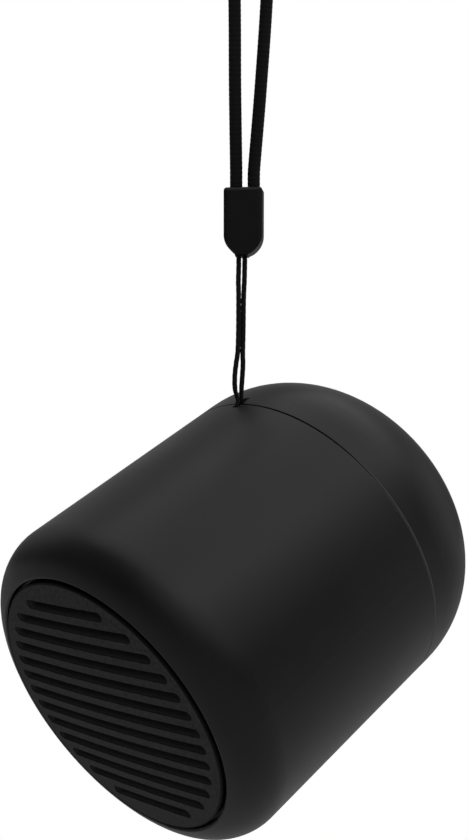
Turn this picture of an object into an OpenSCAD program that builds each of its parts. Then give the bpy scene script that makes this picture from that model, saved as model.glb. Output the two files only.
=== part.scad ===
// Small splash-proof wireless speaker that hangs on a cord loop.
// The body is drawn standing on its rear face, with its axis along Z and the lanyard on the +Y side,
// and is then turned into the pose in which it hangs under the cord. Lengths are in millimetres.

/* [Body] */
// Diameter of the body
body_d = 56; // [54:1:62]
// Length of the body along its axis
body_len = 66; // [64:1:74]
// Radius of the rounding at the grille end
front_round = 7; // [6:0.5:8]
// Radius of the rounding at the rear end
rear_round = 18; // [17:0.5:19]
// Length of the rear cap, up to the parting line
cap_len = 21.5; // [21:0.5:23]
// Thickness of the housing wall
wall = 2.4; // [2.2:0.1:2.8]
// Gap that shows at the parting line
seam_gap = 0.2; // [0.15:0.05:0.3]
// Tilt of the body's axis below the horizontal as it hangs
tilt = 27.5; // [20:0.5:35]

/* [Grille] */
// Diameter of the opening in the front of the housing
front_open_d = 45; // [44.6:0.2:45.8]
// Gap round the grille disc
grille_gap = 0.4; // [0.3:0.05:0.6]
// Thickness of the grille disc at its rim
grille_t = 1.8; // [1.6:0.1:2.2]
// Rise of the disc's middle over its rim
grille_rise = 0.6; // [0.6:0.1:1]
// Number of slots
slot_count = 13; // [9:2:13]
// Distance from slot to slot
slot_pitch = 2.94; // [2.7:0.02:3]
// Width of a slot
slot_w = 1.6; // [1.2:0.1:1.7]
// Solid margin between the slots' ends and the disc's edge
slot_margin = 1.8; // [1.6:0.1:2.4]
// Thickness of the water membrane behind the grille
membrane_t = 0.3; // [0.2:0.1:0.4]
// Width of the shoulder that the grille disc rests on
grille_shoulder = 0.9; // [0.7:0.1:1]

/* [Driver] */
// Diameter of the magnet
magnet_d = 32; // [28:1:34]
// Height of the magnet
magnet_h = 8; // [6:0.5:9]
// Thickness of the steel plates on both sides of the magnet
plate_t = 3; // [2.5:0.25:3.5]
// Diameter of the pole piece
pole_d = 11.9; // [11:0.1:12.5]
// Width of the gap between the pole piece and the coil, and between the coil and the top plate
coil_gap = 0.25; // [0.2:0.05:0.3]
// Depth of the basket from the front of its flange to the top plate
basket_depth = 14.7; // [13:0.1:15]
// Thickness of the basket's sheet metal
frame_t = 0.7; // [0.6:0.1:1.2]
// Diameter of the cone at its outer edge
cone_d = 28.4; // [27:0.2:29]
// Travel of the cone to each side
cone_travel = 1; // [0.5:0.1:1.2]
// Height of the foam ring between the driver and the grille
foam_h = 2.6; // [2.4:0.1:3]
// Thickness of the seat gasket under the driver's flange
seat_gasket_t = 0.5; // [0.4:0.1:0.8]
// Radius of the circle that the driver's screws stand on
driver_screw_r = 19.6; // [19.4:0.1:19.7]
// Angle of the first screw, from the X axis
screw_angle = 65.8; // [62:0.2:68]
// Diameter of the self-tapping screws
screw_d = 1.7; // [1.5:0.1:1.8]

/* [Rear panel] */
// Diameter of the power button
button_d = 6.4; // [6:0.2:6.8]
// Travel of the power button
button_travel = 0.4; // [0.2:0.05:0.5]
// Distance of the button's centre from the body's axis
button_y = 4.6; // [4.4:0.1:4.8]
// Width of the port cover, along its hinge
cover_w = 12; // [11.6:0.2:12.4]
// Length of the port cover, from its hinge to its free edge
cover_len = 6.2; // [6:0.1:6.4]
// Thickness of the port cover
cover_t = 1.6; // [1.4:0.1:1.8]
// Distance of the cover's hinge from the body's axis
hinge_y = 7.3; // [7.1:0.1:7.4]

/* [Electronics] */
// Distance from the rear face to the circuit board
board_z = 11; // [10.6:0.2:11.6]
// Thickness of the circuit board
board_t = 1.2; // [1:0.1:1.6]
// Gap between the board's edge and the rear cap
board_gap = 2.4; // [2:0.1:3]
// Distance from the rear face to the battery tray
tray_z = 17; // [16.6:0.1:18]
// Width of the battery cell
cell_w = 24; // [20:1:24]
// Gap between the tray's corners and the cap's spigot
tray_gap = 1.2; // [0.8:0.1:2]
// Thickness of the battery cell
cell_h = 6; // [5:0.5:8]

/* [Lanyard] */
// Diameter of the strap's cord
strap_d = 2; // [1.6:0.1:2.4]
// Diameter of the thin string
string_d = 0.74; // [0.7:0.02:0.76]
// Diameter of the lanyard pin
pin_d = 0.8; // [0.7:0.02:0.84]
// Depth of the pin's axis under the body's surface
pin_depth = 0.75; // [0.65:0.05:0.9]
// Length of the lanyard pin
pin_len = 4.4; // [4:0.2:5]
// Swing of the body to each side of its rest
swing = 20; // [10:1:22]
// Width of the ferrule
ferrule_w = 6.2; // [5.8:0.2:7]
// Thickness of the ferrule
ferrule_t = 3.4; // [3:0.2:4]
// Turn of the strap loop about the vertical, from the pin's axis
lanyard_turn = 40; // [0:5:90]

/* [Hidden] */
$fn = 96;
eps = 0.01;
// Running clearance of a pin, a plunger or a screw in its hole
run_gap = 0.05;
// Clearance between pieces that are fitted together without moving
fit_gap = 0.1;

body_r = body_d / 2;
inner_r = body_r - wall;
flat_r = body_r - rear_round;
front_open_r = front_open_d / 2;
bore_r = front_open_r - grille_shoulder;
grille_r = front_open_r - grille_gap;
// The grille's dome: the edge of its face, the radius of the face and the height of that radius's centre
grille_edge = 0.3;
grille_face_r = grille_r - grille_edge;
dome_r = (pow(grille_face_r, 2) + pow(grille_rise, 2)) / (2 * grille_rise);
dome_z = body_len + grille_rise - dome_r;
dome_fn = 720;

// Levels of the driver's stack, counted down from the grille
lip_t = 0.4;
grille_z = body_len - grille_t;
foam_z = grille_z - membrane_t - foam_h;
flange_z = foam_z - lip_t;
seat_z = flange_z - frame_t - seat_gasket_t;
ledge_t = 2.4;
ledge_z = seat_z - ledge_t;
top_plate_z = flange_z - basket_depth;
magnet_z = top_plate_z - plate_t - magnet_h;
yoke_z = magnet_z - plate_t;

// Rings of the driver, from the outside in
flange_r = bore_r - 3 * fit_gap;
head_r = 0.9 * screw_d;
foam_r = driver_screw_r - head_r - fit_gap;
foam_w = 1.2;
ledge_r = foam_r + fit_gap;
basket_r = ledge_r - 5 * fit_gap;
basket_foot_r = basket_r - 2.5;
basket_ring_t = frame_t;
base_ring_r = basket_foot_r - 1.6;
cone_r = cone_d / 2;
pole_r = pole_d / 2;
coil_in_r = pole_r + coil_gap;
former_t = 0.3;
former_r = coil_in_r + former_t;
coil_t = 0.25;
coil_r = former_r + coil_t;
gap_r = coil_r + coil_gap;
coil_len = plate_t + 1.6 * cone_travel;
neck_r = former_r + run_gap;
neck_h = 6.4;
neck_z = top_plate_z + neck_h;
cone_t = 0.5;
spider_h = 3.2;
spider_z = top_plate_z + spider_h;
spider_t = 0.4;
boss_r = 1.45 * screw_d;
pilot_r = screw_d / 2 + run_gap;
boss_len = 7;
screw_len = 6;
head_h = 1.2;

// Spigot, seal and snap bead of the joint between the shell and the cap
spigot_r = inner_r - fit_gap;
spigot_t = 2.3;
spigot_in_r = spigot_r - spigot_t;
spigot_root = 4;
seal_lift = 3.5;
seal_z = cap_len + seal_lift;
seal_r = 0.66;
groove_w = 1.6;
groove_depth = 1.3;
bead_lift = 5.7;
bead_z = cap_len + bead_lift;
bead_r = 0.5;
spigot_len = 7;
seam_edge = 0.12;
shell_z = cap_len + seam_gap / 2;
cap_top_z = cap_len - seam_gap / 2;

// Rear panel
button_r = button_d / 2;
button_drop = 0.2;
collar_t = 1.1;
collar_z = 4.6;
button_flange_r = button_r + 0.7;
button_flange_t = 0.8;
plunger_top = 4;
plunger_r = 1.5;
switch_w = 6;
switch_h = 3.3;
switch_z = board_z - switch_h;
plunger_z = board_z - plunger_top;
button_groove = 0.7;
button_seal_r = 0.34;
button_seal_z = 2.9;
axle_z = 0.7;
hinge_bead_r = 0.62;
axle_r = 0.4;
axle_len = 0.9;
cover_gap = 0.25;
hinge_gap = 0.4;
cover_face = 0.06;
pocket_depth = 2.2;
pad_t = 2;
pad_edge = 1.6;
port_w = 8.94;
port_h = 3.26;
port_wall = 0.3;
port_y = -hinge_y + cover_len / 2;
rib_w = 0.8;
rib_edge = 0.5;
tongue_w = 6.7;
tongue_t = 0.7;
tongue_back = 0.8;
light_x = 7;
light_y = 4;
light_r = 0.7;
light_flange_r = 1.1;
light_flange_t = 0.8;
led_h = 0.6;
mic_h = 1.1;

// Posts that carry the tray, bosses that carry the board
post_r = 2.8;
post_gap = 0.9;
post_ring_r = spigot_in_r - post_r - post_gap;
post_x = post_ring_r * cos(screw_angle);
post_y = post_ring_r * sin(screw_angle);
board_r = flat_r + sqrt(pow(rear_round - wall, 2) - pow(rear_round - board_z, 2)) - board_gap;
board_boss_r = 2.2;
board_screw_r = 14.2;
tray_t = 1.5;
tray_wall = 1.2;
tray_wall_h = 5;
cell_gap = 0.2;
pad_thick = 0.5;
pad_inset = 2;
cell_z = tray_z + tray_t + pad_thick;
cell_round = 2;
tray_edge = cell_gap + tray_wall;
tray_corner_r = spigot_in_r - tray_gap - cell_round;
tray_w = cell_w + 2 * tray_edge;
tray_l = 2 * (sqrt(pow(tray_corner_r, 2) - pow(tray_w / 2 - cell_round, 2)) + cell_round);
cell_l = tray_l - 2 * tray_edge;
board_top = board_z + board_t;
connector_l = 6;
connector_w = 4.4;
connector_h = 4;
connector_round = 0.3;
plug_inset = 5.9;
battery_plug = [board_r - plug_inset, 7];
speaker_plug = [plug_inset - board_r, -7];
wire_d = 1.1;
wire_gap = 2;
wire_x = spigot_in_r - wire_gap - wire_d / 2;

// Lanyard
pin_y = body_r - pin_depth;
string_r = string_d / 2;
loop_r = pin_d / 2 + run_gap + string_r;
eyelet_w = string_d + 0.5;
eyelet_gap = 0.18;
// Half the width of the two strands where they lie side by side above the pin
neck_half = 2 * string_r + 0.05;
loop_h = 100.8;
ferrule_h = 10.8;
ferrule_x = 0.5;
ferrule_neck = 2;
ferrule_neck_x = -0.25;
ferrule_neck_h = 0.6;
// How far past the middle the centres of the two arcs lie that draw in the ferrule's lower end
ferrule_point = 0.5;
ferrule_corner = 0.7;
ferrule_edge = 0.6;
string_drop = 24;
pin_drop = loop_h + ferrule_h + string_drop;

// Strap's centre line in the plane of its loop: across, and up from the inside of its crown
crown_r = 5;
left_strand = [
    [-0.73, -100.8], [-0.73, -98.8], [-0.75, -96.8], [-0.93, -85], [-1.05, -70], [-1.6, -50],
    [-3.3, -30], [-4.7, -14]
];
right_strand = [
    [4.9, -14], [5, -30], [4.8, -50], [4.13, -70], [3.16, -85], [2.2, -96.8], [2.08, -98.8], [2.08, -100.8]
];
// One strand of the string: distance from the pair's middle, direction of that, height over the pin, and how far
// the pair's middle has moved along the loop's plane
string_strand = [
    [0.82, 90, 0.3, 0], [0.7, 90, 0.7, 0], [0.42, 88, 1.4, -0.12], [0.48, 80, 2.1, -0.26],
    [0.6, 72, 3.4, -0.36], [0.64, 66, 5.2, -0.3], [0.58, 62, 7, -0.16], [0.44, 65, 8.6, -0.06],
    [0.42, 69, 10, 0], [0.42, 71, 13, 0.06], [0.42, 68, 16.4, 0.08], [0.43, 61, 18.4, 0.1],
    [0.48, 46, 20.2, 0.12], [0.48, 41, 21.4, 0.15], [0.48, 40, 22.4, 0.17], [0.48, 40, 23.2, 0.18],
    [0.48, 40, 24, 0.18]
];
// Routes of the wires inside: from the driver's terminals and from the cell to the board
wire_z = board_top + connector_h / 2;
terminal_l = 3.6;
terminal_t = 1;
terminal_x = base_ring_r + fit_gap + terminal_l;
terminal_z = top_plate_z + fit_gap;
speaker_start = [-terminal_x, 0, terminal_z + terminal_t / 2];
speaker_end = [speaker_plug[0] - connector_w / 2, speaker_plug[1], wire_z];
speaker_route = [
    speaker_start, speaker_start - [0.8, 0, 0], speaker_start - [1.6, 0, 0],
    [0.2 - wire_x, -1, terminal_z - 0.8], [-0.1 - wire_x, -3, terminal_z - 9],
    [-wire_x, -4.5, tray_z + 8.5], [-wire_x, -6.2, tray_z + 0.5], [-wire_x, -6.8, wire_z + 2.2],
    speaker_end - [1.6, 0, 0], speaker_end - [0.8, 0, 0], speaker_end
];
battery_start = [cell_l / 2, 5, cell_z + cell_h / 2];
battery_end = [battery_plug[0] + connector_w / 2, battery_plug[1], wire_z];
battery_route = [
    battery_start, battery_start + [0.8, 0, 0], battery_start + [1.6, 0, 0],
    [wire_x - 0.2, 5.4, tray_z + 4.5], [wire_x, 6, tray_z + 1.5], [wire_x, 6.8, wire_z + 2.2],
    battery_end + [1.6, 0, 0], battery_end + [0.8, 0, 0], battery_end
];
wire_pitch = 1.6;

// Helpers: a cord swept along points

function unit(v) = v / norm(v);
function tangent(p, i) = unit(p[min(i + 1, len(p) - 1)] - p[max(i - 1, 0)]);

// Carries a sideways direction along the route without twisting it
function frames(p, i, side) =
    i == len(p) ? [] :
    let (t = tangent(p, i), s = unit(side - (side * t) * t))
    concat([[s, cross(t, s)]], frames(p, i + 1, s));

// Smooth curve through a list of points, with so many steps from one to the next
function smooth(p, steps) = concat(
    [for (i = [0 : len(p) - 2], k = [0 : steps - 1])
        let (a = p[max(i - 1, 0)], b = p[i], c = p[i + 1], d = p[min(i + 2, len(p) - 1)])
        let (f = k / steps)
        0.5 * (2 * b + (c - a) * f + (2 * a - 5 * b + 4 * c - d) * f * f
            + (3 * b - a - 3 * c + d) * f * f * f)],
    [p[len(p) - 1]]
);

module cord(p, r, side, sides = 8) {
    f = frames(p, 0, side);
    n = len(p);
    rings = [for (i = [0 : n - 1], k = [0 : sides - 1])
        p[i] + r * (cos(360 * k / sides) * f[i][0] + sin(360 * k / sides) * f[i][1])];
    walls = [for (i = [0 : n - 2], k = [0 : sides - 1], half = [0, 1])
        let (a = i * sides + k, b = i * sides + (k + 1) % sides)
        half == 0 ? [a, b + sides, b] : [a, a + sides, b + sides]];
    start = [for (k = [1 : sides - 2]) [0, k, k + 1]];
    last = (n - 1) * sides;
    end = [for (k = [1 : sides - 2]) [last, last + k + 1, last + k]];
    polyhedron(rings, concat(start, walls, end), convexity = 6);
}

// Helpers: shapes that repeat

// Places what is drawn standing on its rear face into the hanging pose
module hanging() {
    translate([0, 0, -pin_drop])
        rotate([90 + tilt, 0, 0])
            translate([0, -pin_y, -cap_len])
                children();
}

module at_z(z) {
    translate([0, 0, z]) children();
}

module ring(r_out, r_in, h) {
    difference() {
        cylinder(r = r_out, h = h);
        translate([0, 0, -eps]) cylinder(r = r_in, h = h + 2 * eps);
    }
}

module mirrored(x, y) {
    for (sx = [-1, 1], sy = [-1, 1]) translate([sx * x, sy * y, 0]) children();
}

module at_driver_screws() {
    mirrored(driver_screw_r * cos(screw_angle), driver_screw_r * sin(screw_angle)) children();
}

module at_posts() {
    mirrored(post_x, post_y) children();
}

module at_board_screws() {
    for (a = [0 : 90 : 270]) rotate([0, 0, a]) translate([board_screw_r, 0, 0]) children();
}

// Quarter of a disc, from the first quadrant turned by so many degrees
module quarter(r, turn) {
    rotate(turn) intersection() {
        circle(r);
        square(r + 1);
    }
}

// Half section of the whole body, drawn in by a wall thickness
module body_section(inset = 0) {
    straight = body_len - rear_round - front_round;
    translate([0, inset]) square([flat_r, rear_round - inset]);
    translate([flat_r, rear_round]) quarter(rear_round - inset, -90);
    translate([0, rear_round]) square([body_r - inset, straight]);
    translate([0, body_len - front_round]) square([body_r - front_round, front_round - inset]);
    translate([body_r - front_round, body_len - front_round]) quarter(front_round - inset, 0);
}

// Pan head screw, head upwards and seated on the plane z = 0
module screw(length) {
    cross_w = 0.22 * screw_d;
    difference() {
        union() {
            translate([0, 0, -length]) cylinder(d = screw_d, h = length);
            rotate_extrude() {
                square([head_r, head_h / 2]);
                translate([0, head_h / 2]) square([head_r - head_h / 2, head_h / 2]);
                translate([head_r - head_h / 2, head_h / 2]) quarter(head_h / 2, 0);
            }
        }
        for (a = [0, 90])
            rotate([0, 0, a]) translate([-screw_d / 2, -cross_w / 2, head_h / 2])
                cube([screw_d, cross_w, head_h]);
    }
}

module rounded_plate(l, w, h, r) {
    linear_extrude(h) {
        square([l - 2 * r, w], center = true);
        square([l, w - 2 * r], center = true);
        for (sx = [-1, 1], sy = [-1, 1]) translate([sx * (l / 2 - r), sy * (w / 2 - r)]) circle(r);
    }
}

// Slot with round ends, along X
module stadium(l, w) {
    square([l - w, w], center = true);
    for (s = [-1, 1]) translate([s * (l - w) / 2, 0]) circle(d = w);
}

// Lanyard

module lanyard_plane() {
    rotate([0, 0, lanyard_turn]) children();
}

module wrist_strap() {
    lift = strap_d / 2;
    crown = [for (a = [170 : -20 : 10]) [crown_r * cos(a), crown_r * sin(a) + lift - crown_r]];
    flat = smooth(concat(left_strand, crown, right_strand), 3);
    route = [for (q = flat) [q[0], 0, q[1]]];
    color("#141414") lanyard_plane() cord(route, strap_d / 2, [1, 0, 0]);
}

module cord_ferrule() {
    color("#161616") lanyard_plane() translate([ferrule_x, 0, -loop_h - ferrule_h]) intersection() {
        rotate([90, 0, 0]) translate([0, 0, -ferrule_t / 2]) linear_extrude(ferrule_t) ferrule_outline();
        translate([-ferrule_w / 2, 0, ferrule_h / 2])
            rotate([90, 0, 90]) rounded_plate(ferrule_t, ferrule_h, ferrule_w, ferrule_edge);
        rounded_plate(ferrule_w, ferrule_t, ferrule_h, ferrule_edge);
    }
}

// Outline of the ferrule: a straight body, drawn in by two arcs to a blunt lower end with a short neck
module ferrule_outline() {
    half = ferrule_w / 2;
    arc_r = half + ferrule_point;
    body_z = sqrt(arc_r * arc_r - ferrule_point * ferrule_point);
    intersection() {
        translate([-half, 0]) square([ferrule_w, body_z + eps]);
        translate([-ferrule_point, body_z]) circle(arc_r);
        translate([ferrule_point, body_z]) circle(arc_r);
    }
    translate([-half, body_z]) square([ferrule_w, ferrule_h - body_z - ferrule_corner]);
    translate([ferrule_corner - half, body_z]) square([ferrule_w - 2 * ferrule_corner, ferrule_h - body_z]);
    translate([ferrule_neck_x - ferrule_neck / 2, 0]) square([ferrule_neck, ferrule_neck_h]);
    for (s = [-1, 1]) translate([s * (half - ferrule_corner), ferrule_h - ferrule_corner]) circle(ferrule_corner);
}

module lanyard_string() {
    last = len(string_strand) - 1;
    up = [for (q = string_strand) strand_point(q, 1)];
    down = [for (i = [last : -1 : 0]) strand_point(string_strand[i], -1)];
    turn = [for (a = [180 : 22.5 : 360]) [0, loop_r * cos(a), loop_r * sin(a)]];
    route = concat(smooth(down, 2), turn, smooth(up, 2));
    color("#121212") translate([0, 0, -pin_drop]) cord(route, string_r, [1, 0, 0]);
}

// Point on one of the two strands of the string
function strand_point(q, side) = [
    side * q[0] * cos(q[1]) + q[3] * cos(lanyard_turn),
    side * q[0] * sin(q[1]) + q[3] * sin(lanyard_turn),
    q[2]
];

module lanyard_pin() {
    color("#8c8c8c") hanging() translate([0, pin_y, cap_len]) rotate([0, 90, 0])
        cylinder(d = pin_d, h = pin_len, center = true);
}

// Room round the pin: its own groove, a pocket for the string's loop, and a mouth for the swing
module eyelet_cut() {
    steep = tilt + swing;
    flat = tilt - swing;
    reach = neck_half + eyelet_gap;
    mouth = pin_depth + wall;
    translate([0, pin_y, cap_len]) rotate([0, 90, 0]) {
        cylinder(r = pin_d / 2 + run_gap, h = pin_len + 2 * run_gap, center = true);
        cylinder(r = loop_r + string_r + eyelet_gap, h = eyelet_w, center = true);
        linear_extrude(eyelet_w, center = true) polygon([
            [reach / cos(steep), 0], [mouth * tan(steep) + reach / cos(steep), mouth],
            [mouth * tan(flat) - reach / cos(flat), mouth], [-reach / cos(flat), 0]
        ]);
    }
}

// Housing

module main_shell() {
    color("#262626") hanging() difference() {
        union() {
            rotate_extrude() shell_section();
            difference() {
                at_driver_screws() at_z(ledge_z - boss_len)
                    cylinder(r = boss_r, h = boss_len + ledge_t / 2);
                at_z(ledge_z - boss_len - eps) cylinder(r = ledge_r, h = boss_len + ledge_t);
            }
        }
        at_driver_screws() at_z(seat_z - screw_len) cylinder(r = pilot_r, h = screw_len + eps);
        eyelet_cut();
    }
}

// Half section of the front shell, with its rolled rim, the seat for the driver and the snap groove
module shell_section() {
    rim_r = 0.4;
    rim_x = front_open_r + rim_r;
    arc_x = body_r - front_round;
    arc_z = body_len - front_round;
    rim_z = arc_z + sqrt(pow(front_round - rim_r, 2) - pow(rim_x - arc_x, 2));
    blend_x = arc_x + (rim_x - arc_x) * front_round / (front_round - rim_r);
    difference() {
        body_section();
        square([body_r, shell_z]);
        square([inner_r, ledge_z]);
        square([ledge_r, body_len]);
        translate([0, seat_z]) square([bore_r, body_len]);
        translate([0, grille_z]) square([front_open_r, body_len]);
        translate([spigot_r - bead_r / 2, bead_z]) circle(bead_r + fit_gap);
        translate([body_r - seam_edge, shell_z - seam_edge]) difference() {
            square(2 * seam_edge);
            translate([0, 2 * seam_edge]) circle(seam_edge);
        }
        difference() {
            translate([front_open_r, rim_z]) square([blend_x - front_open_r, body_len]);
            translate([rim_x, rim_z]) circle(rim_r);
        }
    }
}

module rear_cap() {
    color("#262626") hanging() difference() {
        union() {
            rotate_extrude() cap_section();
            intersection() {
                rotate_extrude() body_section(wall / 2);
                cap_bosses();
            }
        }
        rear_panel_cuts();
        at_posts() at_z(tray_z - screw_len) cylinder(r = pilot_r, h = screw_len + eps);
        at_board_screws() at_z(board_z - screw_len) cylinder(r = pilot_r, h = screw_len + eps);
        eyelet_cut();
    }
}

// Half section of the rear cap with the spigot that plugs into the shell
module cap_section() {
    difference() {
        union() {
            difference() {
                body_section();
                body_section(wall);
                translate([0, cap_top_z]) square([body_r, body_len]);
            }
            translate([spigot_in_r, cap_len - spigot_root]) square([spigot_t, spigot_root + spigot_len]);
            translate([spigot_in_r, cap_len - spigot_root])
                square([inner_r - spigot_in_r + wall / 2, spigot_root - seam_gap / 2]);
            translate([spigot_r - bead_r / 2, bead_z]) circle(bead_r);
        }
        translate([0, cap_len - spigot_root]) square([spigot_in_r, body_len]);
        translate([spigot_r - groove_depth, seal_z - groove_w / 2]) square([groove_depth + 1, groove_w]);
        translate([body_r - seam_edge, cap_top_z - seam_edge]) difference() {
            square(2 * seam_edge);
            circle(seam_edge);
        }
    }
}

// What stands up inside the cap: tray posts, board bosses, button collar and the pad behind the port
module cap_bosses() {
    at_posts() cylinder(r = post_r, h = tray_z);
    at_board_screws() cylinder(r = board_boss_r, h = board_z);
    translate([0, button_y, 0]) cylinder(r = button_r + fit_gap + collar_t, h = collar_z);
    pad_w = cover_w + 2 * (cover_gap + pad_edge);
    pad_l = hinge_bead_r + hinge_gap + cover_len + cover_gap + pad_edge;
    translate([-pad_w / 2, -hinge_y - hinge_bead_r - hinge_gap - pad_edge, 0])
        cube([pad_w, pad_l + pad_edge / 2, pocket_depth + pad_t]);
}

module rear_panel_cuts() {
    pocket_y = -hinge_y - hinge_bead_r - hinge_gap;
    pocket_l = hinge_bead_r + hinge_gap + cover_len + cover_gap;
    translate([0, button_y, -eps]) cylinder(r = button_r + run_gap, h = collar_z + 2 * eps);
    translate([-cover_w / 2 - cover_gap, pocket_y, -eps])
        cube([cover_w + 2 * cover_gap, pocket_l, pocket_depth + eps]);
    translate([0, -hinge_y, axle_z]) rotate([0, 90, 0])
        cylinder(r = axle_r + run_gap, h = cover_w + 2 * (axle_len + fit_gap), center = true);
    translate([0, port_y, 0]) linear_extrude(pocket_depth + pad_t + eps)
        stadium(port_w + 2 * fit_gap, port_h + 2 * fit_gap);
    translate([-light_x, light_y, -eps]) cylinder(r = light_r + run_gap, h = wall + 2 * eps);
    translate([light_x, light_y, -eps]) cylinder(r = light_r / 2, h = wall + 2 * eps);
}

module seam_ring() {
    color("#7a2a22") hanging() at_z(seal_z) rotate_extrude()
        translate([spigot_r - groove_depth / 2 + fit_gap / 2, 0]) circle(seal_r);
}

// Grille and what lies behind it

module grille_plate() {
    reach = grille_r - slot_margin - slot_w / 2;
    color("#2b2b2b") hanging() difference() {
        rotate_extrude() grille_section();
        for (i = [0 : slot_count - 1])
            let (y = (i - (slot_count - 1) / 2) * slot_pitch)
            translate([0, y, grille_z - eps]) linear_extrude(grille_t + grille_rise + 2 * eps)
                stadium(2 * sqrt(reach * reach - y * y) + slot_w, slot_w);
    }
}

// Half section of the grille disc: a shallow dome with a rounded rim, and the skirt that plugs into the bore
module grille_section() {
    skirt_r = bore_r - 1.5 * fit_gap;
    skirt_t = 1;
    skirt_h = 0.8;
    intersection() {
        translate([0, grille_z]) square([grille_face_r, grille_t + grille_rise]);
        translate([0, dome_z]) circle(dome_r, $fn = dome_fn);
    }
    translate([0, grille_z]) square([grille_r, grille_t - grille_edge]);
    translate([grille_face_r, body_len - grille_edge]) quarter(grille_edge, 0);
    translate([skirt_r - skirt_t, grille_z - skirt_h]) square([skirt_t, skirt_h + eps]);
}

module water_membrane() {
    color("#1a1a1a") hanging() at_z(grille_z - membrane_t) cylinder(r = foam_r, h = membrane_t);
}

module foam_ring() {
    color("#202020") hanging() at_z(foam_z) ring(foam_r, foam_r - foam_w, foam_h);
}

module seat_gasket() {
    color("#1c1c1c") hanging() difference() {
        at_z(seat_z) ring(flange_r, ledge_r, seat_gasket_t);
        at_driver_screws() at_z(seat_z - eps) cylinder(r = pilot_r + fit_gap, h = seat_gasket_t + 2 * eps);
    }
}

// Loudspeaker driver

module driver_frame() {
    window_w = 13;
    window_z = top_plate_z + 3.8;
    window_h = 6.4;
    color("#3a3a3a") hanging() difference() {
        rotate_extrude() frame_section();
        at_driver_screws() at_z(flange_z - frame_t - eps)
            cylinder(r = pilot_r + fit_gap, h = frame_t + 2 * eps);
        for (a = [45 : 90 : 315])
            rotate([0, 0, a]) translate([base_ring_r, -window_w / 2, window_z])
                cube([flange_r, window_w, window_h]);
    }
}

// Half section of the pressed basket: flange, sloping wall, spider ledge and foot
module frame_section() {
    ledge_h = spider_z - top_plate_z;
    translate([basket_r - basket_ring_t, flange_z - frame_t])
        square([flange_r - basket_r + basket_ring_t, frame_t]);
    polygon([
        [basket_foot_r - basket_ring_t, spider_z - basket_ring_t], [basket_foot_r, spider_z - basket_ring_t],
        [basket_r, flange_z - frame_t], [basket_r, flange_z], [basket_r - basket_ring_t, flange_z],
        [basket_r - basket_ring_t, flange_z - frame_t]
    ]);
    translate([base_ring_r - basket_ring_t, spider_z - basket_ring_t])
        square([basket_foot_r - base_ring_r + basket_ring_t, basket_ring_t]);
    translate([base_ring_r - basket_ring_t, top_plate_z]) square([basket_ring_t, ledge_h]);
    translate([gap_r + 1, top_plate_z]) square([base_ring_r - gap_r - 1, basket_ring_t]);
}

module driver_screws() {
    color("#9a9a9a") hanging() at_driver_screws() at_z(flange_z) screw(screw_len - fit_gap);
}

module top_plate() {
    color("#6e6e6e") hanging() at_z(top_plate_z - plate_t) ring(magnet_d / 2 - 1.5, gap_r, plate_t);
}

module magnet() {
    color("#303030") hanging() at_z(magnet_z) ring(magnet_d / 2, gap_r + 2, magnet_h);
}

module yoke() {
    vent_r = 1.2;
    color("#6e6e6e") hanging() difference() {
        union() {
            at_z(yoke_z) cylinder(r = magnet_d / 2 - 1, h = plate_t);
            at_z(yoke_z) cylinder(r = pole_r, h = top_plate_z - yoke_z);
        }
        at_z(yoke_z - eps) cylinder(r = vent_r, h = top_plate_z);
    }
}

module driver_terminals() {
    strip_w = 8;
    color("#8a6a3a") hanging() translate([-terminal_x, -strip_w / 2, terminal_z])
        cube([terminal_l, strip_w, terminal_t]);
}

module diaphragm() {
    edge_z = flange_z;
    color("#1f1f1f") hanging() rotate_extrude() polygon([
        [neck_r, neck_z], [neck_r + cone_t, neck_z - cone_t], [cone_r, edge_z - cone_t], [cone_r, edge_z],
        [cone_r - cone_t, edge_z]
    ]);
}

module dust_cap() {
    cap_r = 8;
    cap_t = 0.4;
    rise = sqrt(cap_r * cap_r - former_r * former_r);
    color("#181818") hanging() at_z(neck_z) rotate_extrude() intersection() {
        translate([0, -rise]) difference() {
            circle(cap_r);
            circle(cap_r - cap_t);
        }
        square(cap_r);
    }
}

module voice_coil() {
    coil_z = top_plate_z - plate_t / 2 - coil_len / 2;
    color("#a8562a") hanging() {
        at_z(coil_z) ring(former_r, coil_in_r, neck_z - coil_z);
        at_z(coil_z) ring(coil_r, former_r - eps, coil_len);
    }
}

// Rolled rubber edge between the cone and the flange
module surround() {
    outer_r = foam_r - foam_w;
    roll_x = (cone_r + outer_r) / 2;
    roll_r = (outer_r - cone_r) / 2;
    color("#151515") hanging() at_z(flange_z) rotate_extrude() {
        translate([outer_r - eps, 0]) square([foam_w, lip_t]);
        translate([cone_r - 1, 0]) square([1 + eps, lip_t]);
        intersection() {
            translate([roll_x, 0]) difference() {
                circle(roll_r);
                circle(roll_r - lip_t);
            }
            translate([cone_r, 0]) square([2 * roll_r, 2 * roll_r]);
        }
    }
}

// Corrugated cloth disc that centres the coil
module spider() {
    inner = former_r + fit_gap;
    outer = base_ring_r - basket_ring_t - spider_t;
    rim_w = 2;
    hub_w = 0.4;
    waves = 3;
    pitch = (outer - inner - hub_w) / (2 * waves);
    color("#b08a4a") hanging() at_z(spider_z) rotate_extrude() {
        translate([outer - eps, 0]) square([rim_w, spider_t]);
        translate([inner, 0]) square([hub_w + eps, spider_t]);
        for (i = [0 : 2 * waves - 1])
            let (x = inner + hub_w + (i + 0.5) * pitch, r = (pitch + spider_t) / 2, up = i % 2 == 0)
            translate([x, spider_t / 2]) rotate(up ? 0 : 180) intersection() {
                difference() {
                    circle(r);
                    circle(r - spider_t);
                }
                translate([-r, 0]) square([2 * r, r]);
            }
    }
}

// Battery and tray

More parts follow.
